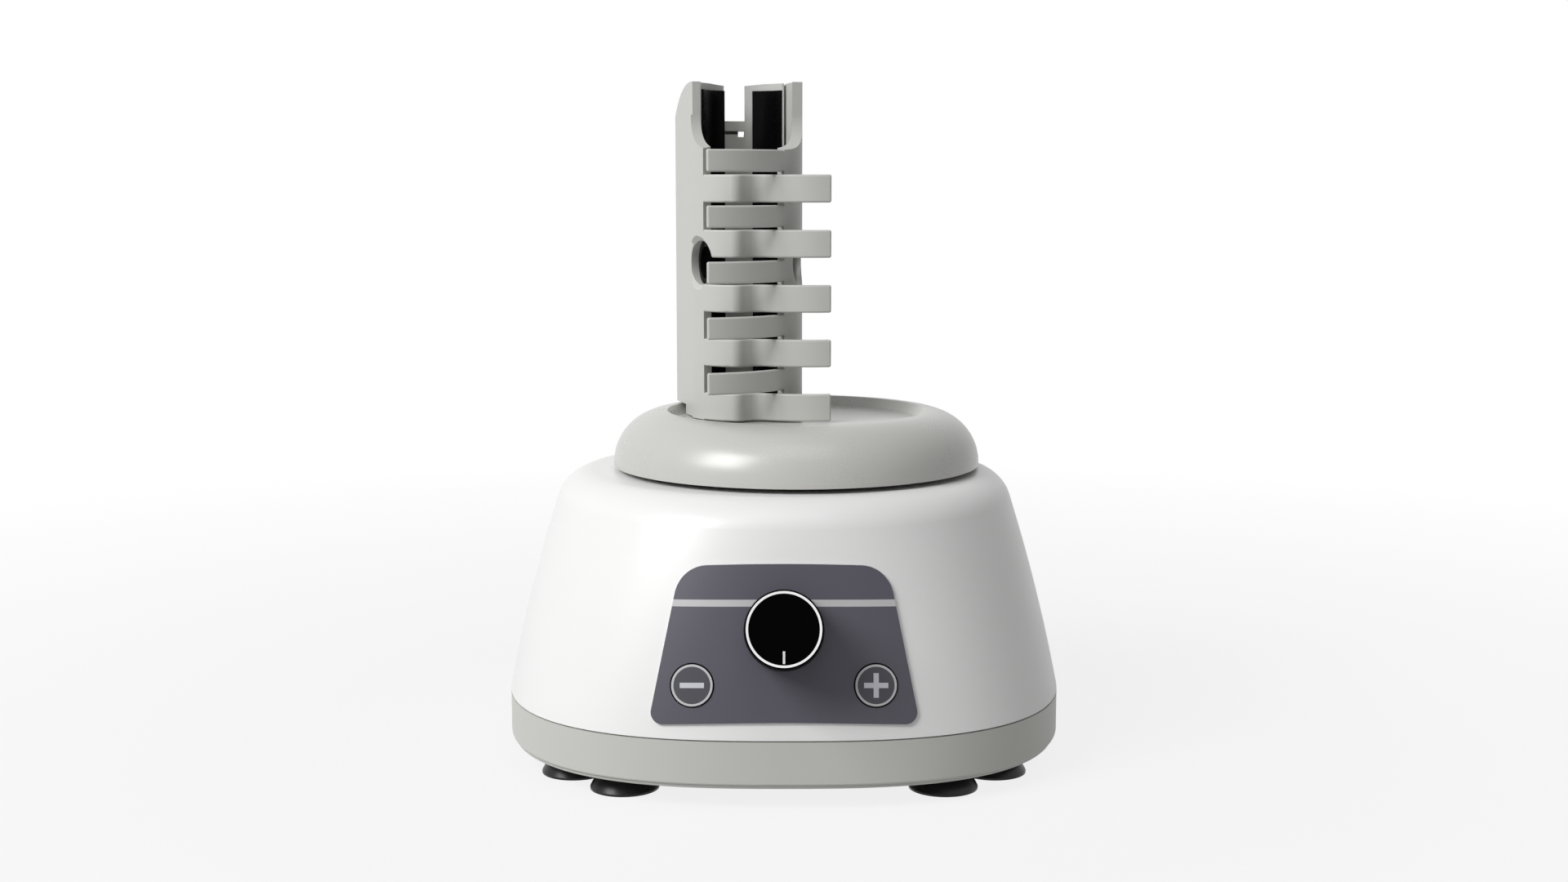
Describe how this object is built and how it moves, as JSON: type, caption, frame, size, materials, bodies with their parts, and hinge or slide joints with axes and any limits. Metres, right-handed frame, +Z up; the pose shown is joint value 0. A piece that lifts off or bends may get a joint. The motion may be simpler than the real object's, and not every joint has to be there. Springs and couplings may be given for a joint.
{
  "type": "vortex mixer",
  "caption": "Bench vortex mixer with a rounded square case, an orbiting dished head that carries a sprung comb-jawed tube clamp, a speed knob, plus and minus keys and suction feet.",
  "frame": {"origin": "on the surface the feet stand on, under the middle of the overall outline, the knob included", "axes": "+Z up, -Y towards the front with the knob, +X to the right as seen from the front"},
  "size_m": [0.11, 0.1183, 0.1325],
  "materials": {
    "white_shell": "satin moulded",
    "grey_base": "fine moulded",
    "foot_rubber": "smooth",
    "isolator_rubber": "matt",
    "ballast_iron": "rough cast",
    "screw_steel": "zinc plated",
    "frame_steel": "turned and rolled",
    "bearing_steel": "ground",
    "motor_cap_plastic": "moulded",
    "crank_aluminium": "turned",
    "counter_brass": "machined",
    "head_grey": "fine moulded",
    "clamp_grey": "fine moulded",
    "grip_rubber": "smooth",
    "panel_film": "printed film",
    "knob_black": "fine moulded",
    "knob_trim": "bright",
    "mark_white": "filled mark",
    "key_plastic": "moulded",
    "inlet_black": "moulded",
    "contact_brass": "plated",
    "board_green": "lacquered laminate"
  },
  "bodies": {
    "base": {"base_tray": "grey_base", "suction_feet": "foot_rubber", "ballast_plate": "ballast_iron", "ballast_screws": "screw_steel", "pillars": "frame_steel", "isolators": "isolator_rubber", "motor_plate": "frame_steel", "plate_screws": "screw_steel", "motor_can": "frame_steel", "motor_end_cap": "motor_cap_plastic", "motor_screws": "screw_steel", "housing": "white_shell", "case_screws": "screw_steel", "panel_overlay": "panel_film", "potentiometer": "inlet_black", "pot_nut": "contact_brass", "tact_switches": "inlet_black", "control_board": "board_green", "board_screws": "screw_steel", "dc_inlet": "inlet_black", "dc_pin": "contact_brass", "dc_nut": "contact_brass", "restraint_posts": "isolator_rubber"},
    "drive": {"motor_shaft": "frame_steel", "eccentric": "crank_aluminium", "grub_screw": "screw_steel", "counterweight": "counter_brass", "weight_screw": "screw_steel", "bearing_inner_ring": "bearing_steel", "bearing_clip": "frame_steel"},
    "head": {"bearing_outer_ring": "bearing_steel", "bearing_balls": "bearing_steel", "head_hub": "crank_aluminium", "hub_screws": "screw_steel", "head_dome": "head_grey", "clamp_spine": "clamp_grey", "spine_pads": "grip_rubber", "clamp_screws": "screw_steel", "hinge_pins": "frame_steel", "left_jaw_spring": "frame_steel", "right_jaw_spring": "frame_steel"},
    "left_clamp_jaw": {"left_jaw": "clamp_grey", "left_liner": "grip_rubber"},
    "right_clamp_jaw": {"right_jaw": "clamp_grey", "right_liner": "grip_rubber"},
    "knob": {"speed_knob": "knob_black", "knob_ring": "knob_trim", "knob_pointer": "mark_white", "pot_shaft": "contact_brass"},
    "minus_button": {"minus_key": "key_plastic", "minus_sign": "mark_white"},
    "plus_button": {"plus_key": "key_plastic", "plus_sign": "mark_white"}
  },
  "joints": [
    {"name": "drive_spin", "type": "hinge", "parent": "base", "child": "drive", "pos_m": [0, 0.0041, 0.0491], "axis": [0, 0, 1], "continuous": true},
    {"name": "head_orbit", "type": "hinge", "parent": "drive", "child": "head", "pos_m": [0.0025, 0.0041, 0.0587], "axis": [0, 0, 1], "continuous": true, "deforming": ["restraint_posts"]},
    {"name": "left_jaw_hinge", "type": "hinge", "parent": "head", "child": "left_clamp_jaw", "pos_m": [-0.01815, 0.0153, 0], "axis": [0, 0, 1], "range_deg": [-12, 0], "stiffness_Nm_per_rad": 0.05, "springref_deg": 8.59, "deforming": ["left_jaw_spring"]},
    {"name": "right_jaw_hinge", "type": "hinge", "parent": "head", "child": "right_clamp_jaw", "pos_m": [-0.00362, 0.01975, 0], "axis": [0, 0, 1], "range_deg": [0, 12], "stiffness_Nm_per_rad": 0.05, "springref_deg": -8.59, "deforming": ["right_jaw_spring"]},
    {"name": "knob_turn", "type": "hinge", "parent": "base", "child": "knob", "pos_m": [0, -0.04672, 0.0324], "axis": [0, 0.9697, -0.2441], "range_deg": [0, 300]},
    {"name": "minus_press", "type": "slide", "parent": "base", "child": "minus_button", "axis": [0, 0.9697, -0.2441], "range_m": [0, 0.0006], "stiffness_N_per_m": 800, "springref_m": -0.0006},
    {"name": "plus_press", "type": "slide", "parent": "base", "child": "plus_button", "axis": [0, 0.9697, -0.2441], "range_m": [0, 0.0006], "stiffness_N_per_m": 800, "springref_m": -0.0006}
  ],
  "couplings": [
    {"joint": "head_orbit", "follows": "drive_spin", "ratio": -1}
  ]
}
